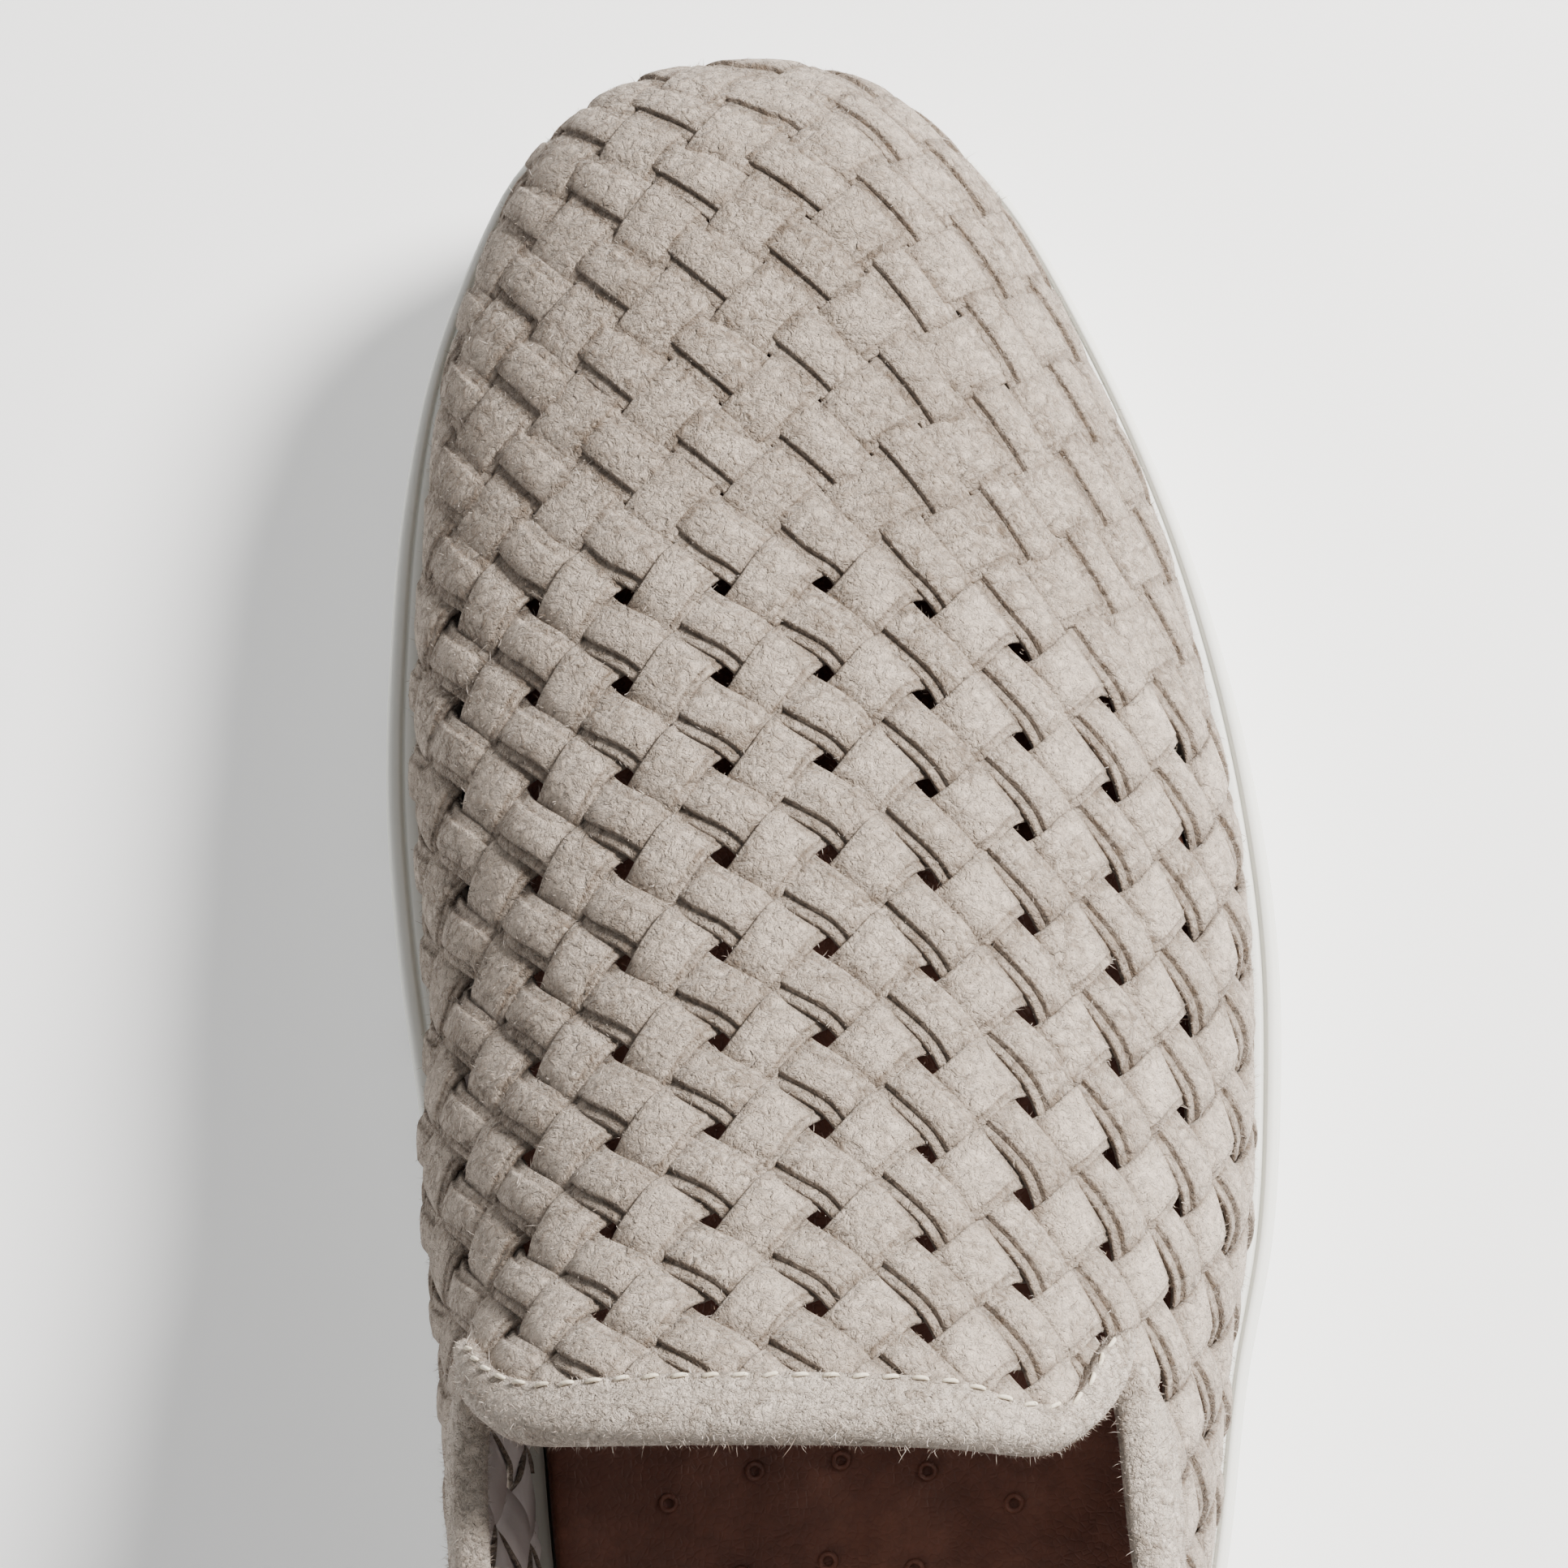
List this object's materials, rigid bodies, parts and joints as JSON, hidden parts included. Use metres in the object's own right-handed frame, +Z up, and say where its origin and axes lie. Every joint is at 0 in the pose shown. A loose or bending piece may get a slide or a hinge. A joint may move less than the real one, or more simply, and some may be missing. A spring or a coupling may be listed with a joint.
{
  "type": "woven slip-on shoe",
  "caption": "Right slip-on shoe with a woven strip upper, open throat and collar, bound edges, leather insole and a rubber cup sole with a raised rim.",
  "frame": {"origin": "on the floor, under the middle of the shoe's bounding box", "axes": "+Y towards the toe, +X towards the outer side of the foot, +Z up"},
  "size_m": [0.1042, 0.299, 0.0869],
  "materials": {
    "sole": "matte off-white moulded rubber",
    "insole": "fine-grained brown leather, satin",
    "upper": "napped taupe suede strips, matte",
    "throat_binding": "napped taupe suede, matte",
    "collar_binding": "napped taupe suede, matte"
  },
  "bodies": {
    "root": {"sole": "sole", "insole": "insole", "upper": "upper", "throat_binding": "throat_binding", "collar_binding": "collar_binding"}
  },
  "joints": []
}
